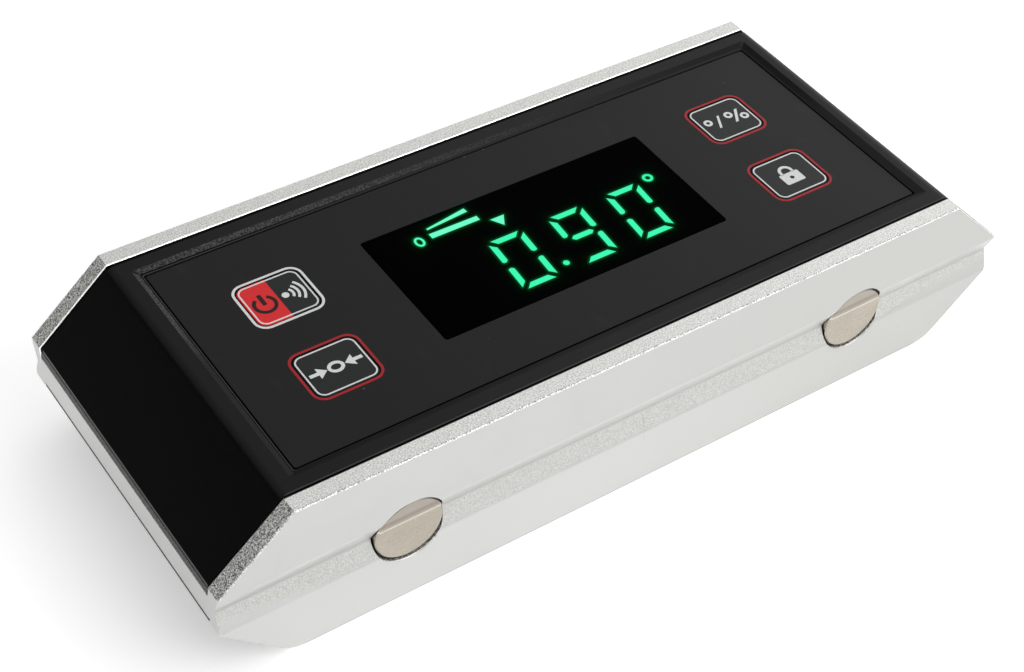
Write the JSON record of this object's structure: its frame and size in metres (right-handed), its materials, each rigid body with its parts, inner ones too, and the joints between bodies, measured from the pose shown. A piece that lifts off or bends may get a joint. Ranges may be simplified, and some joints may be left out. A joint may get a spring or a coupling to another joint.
{
  "type": "digital angle gauge",
  "caption": "Eight-sided aluminium angle gauge with grooved magnetic long edges, a lit numeric display, sprung keys and a swing-out battery door.",
  "frame": {"origin": "middle of the back, on the surface that the gauge lies on with its display up", "axes": "+X along the gauge, from the power key's end to the other; +Y across it, from the lower to the upper edge of the display; +Z out of the display"},
  "size_m": [0.15, 0.06, 0.031],
  "materials": {
    "frame_aluminium": "fine blasted casting with milled satin faces",
    "magnet_nickel": "nickel plated",
    "housing_plastic": "fine satin",
    "overlay_film": "matt printed film",
    "smoked_lens": "dark tinted, polished",
    "key_film": "matt printed film",
    "display_body": "matt",
    "board_green": "solder mask",
    "chip_black": "moulded",
    "white_nylon": "satin",
    "copper_winding": "enamelled copper wire",
    "steel_plated": "zinc plated",
    "cell_jacket": "plain coloured jacket with bare ends",
    "lead_black": "insulated wire",
    "lead_red": "insulated wire"
  },
  "bodies": {
    "gauge_body": {"frame": "frame_aluminium", "magnet_near_left": "magnet_nickel", "magnet_near_right": "magnet_nickel", "magnet_far_left": "magnet_nickel", "magnet_far_right": "magnet_nickel", "front_housing": "housing_plastic", "key_overlay": "overlay_film", "display_lens": "smoked_lens", "led_display": "display_body", "main_board": "board_green", "power_switch_body": "chip_black", "tare_switch_body": "chip_black", "units_switch_body": "chip_black", "freeze_switch_body": "chip_black", "microcontroller": "chip_black", "tilt_sensor": "chip_black", "buzzer": "chip_black", "boost_coil": "copper_winding", "smoothing_capacitor": "steel_plated", "housing_screw_1": "steel_plated", "housing_screw_2": "steel_plated", "housing_screw_3": "steel_plated", "housing_screw_4": "steel_plated", "housing_screw_5": "steel_plated", "housing_screw_6": "steel_plated", "board_screw_1": "steel_plated", "board_screw_2": "steel_plated", "board_screw_3": "steel_plated", "board_screw_4": "steel_plated", "back_cover": "housing_plastic", "battery_cell_1": "cell_jacket", "battery_cell_2": "cell_jacket", "contact_minus": "steel_plated", "contact_plus": "steel_plated", "contact_bridge": "steel_plated", "spring_minus": "steel_plated", "spring_bridge": "steel_plated", "lead_minus": "lead_black", "lead_plus": "lead_red"},
    "power_button": {"power_key": "key_film", "power_switch_plunger": "white_nylon"},
    "tare_button": {"tare_key": "key_film", "tare_switch_plunger": "white_nylon"},
    "units_button": {"units_key": "key_film", "units_switch_plunger": "white_nylon"},
    "freeze_button": {"freeze_key": "key_film", "freeze_switch_plunger": "white_nylon"},
    "door": {"battery_door": "housing_plastic"}
  },
  "joints": [
    {"name": "power_press", "type": "slide", "parent": "gauge_body", "child": "power_button", "axis": [0, 0, -1], "range_m": [0, 0.0003], "stiffness_N_per_m": 4000},
    {"name": "tare_press", "type": "slide", "parent": "gauge_body", "child": "tare_button", "axis": [0, 0, -1], "range_m": [0, 0.0003], "stiffness_N_per_m": 4000},
    {"name": "units_press", "type": "slide", "parent": "gauge_body", "child": "units_button", "axis": [0, 0, -1], "range_m": [0, 0.0003], "stiffness_N_per_m": 4000},
    {"name": "freeze_press", "type": "slide", "parent": "gauge_body", "child": "freeze_button", "axis": [0, 0, -1], "range_m": [0, 0.0003], "stiffness_N_per_m": 4000},
    {"name": "door_swing", "type": "hinge", "parent": "gauge_body", "child": "door", "pos_m": [-0.0265, 0, 0.00045], "axis": [0, 1, 0], "range_deg": [0, 50]}
  ]
}
